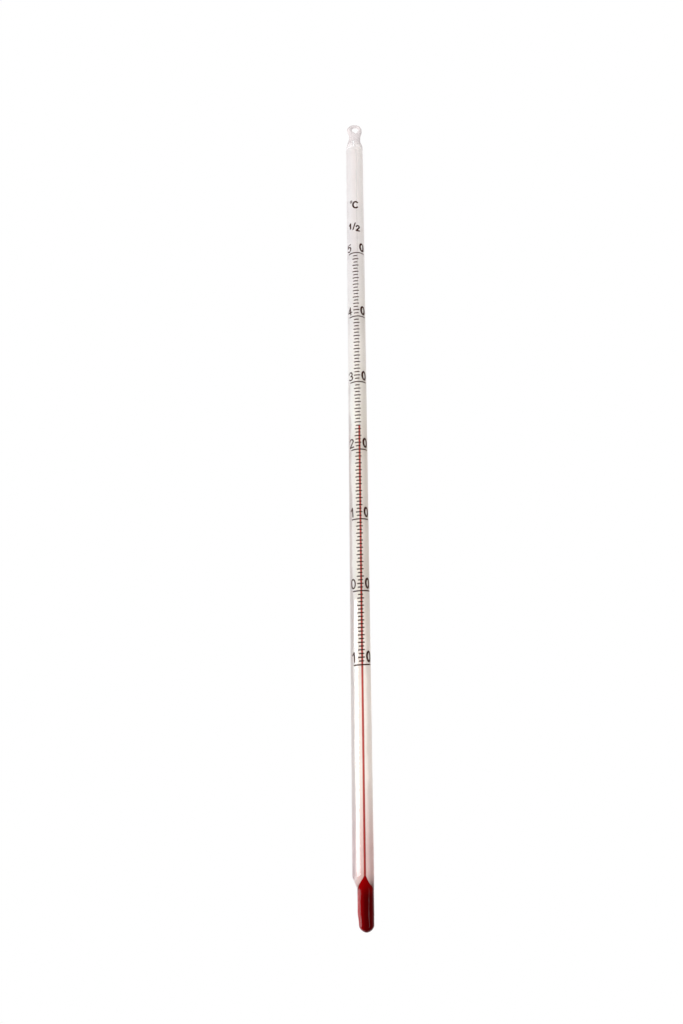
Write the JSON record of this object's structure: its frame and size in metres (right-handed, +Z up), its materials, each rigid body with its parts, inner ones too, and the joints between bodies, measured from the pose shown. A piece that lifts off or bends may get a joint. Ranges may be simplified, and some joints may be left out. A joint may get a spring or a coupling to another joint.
{
  "type": "darkroom thermometer",
  "caption": "Solid-stem glass spirit thermometer for darkroom baths, with a hanging eye, opal backing and a scale in half degrees Celsius.",
  "frame": {"origin": "centre of the hanging eye's loop, on the stem's axis", "axes": "+Z up along the stem, from the bulb to the eye; -Y towards the printed scale; +X to the reader's right"},
  "size_m": [0.0068, 0.0068, 0.3],
  "materials": {
    "clear_glass": "fire-polished, clear",
    "opal_glass": "milk-white enamel strip drawn into the stem",
    "red_spirit": "dyed liquid",
    "fired_enamel": "dark brown enamel, printed and fired"
  },
  "bodies": {
    "stem": {"glass_stem": "clear_glass", "opal_backing": "opal_glass", "bulb_glass": "clear_glass", "hanging_eye": "clear_glass", "bulb_spirit": "red_spirit", "spirit_column": "red_spirit", "ten_degree_lines": "fired_enamel", "degree_lines": "fired_enamel", "half_degree_lines": "fired_enamel", "half_sign": "fired_enamel", "unit_sign": "fired_enamel", "figures_minus_10": "fired_enamel", "figures_0": "fired_enamel", "figures_10": "fired_enamel", "figures_20": "fired_enamel", "figures_30": "fired_enamel", "figures_40": "fired_enamel", "figures_50": "fired_enamel"},
    "spirit_level": {"spirit_head": "red_spirit"}
  },
  "joints": [
    {"name": "spirit_rise", "type": "slide", "parent": "stem", "child": "spirit_level", "axis": [0, 0, 1], "range_m": [-0.08589, 0.07107], "deforming": ["spirit_column"]}
  ]
}
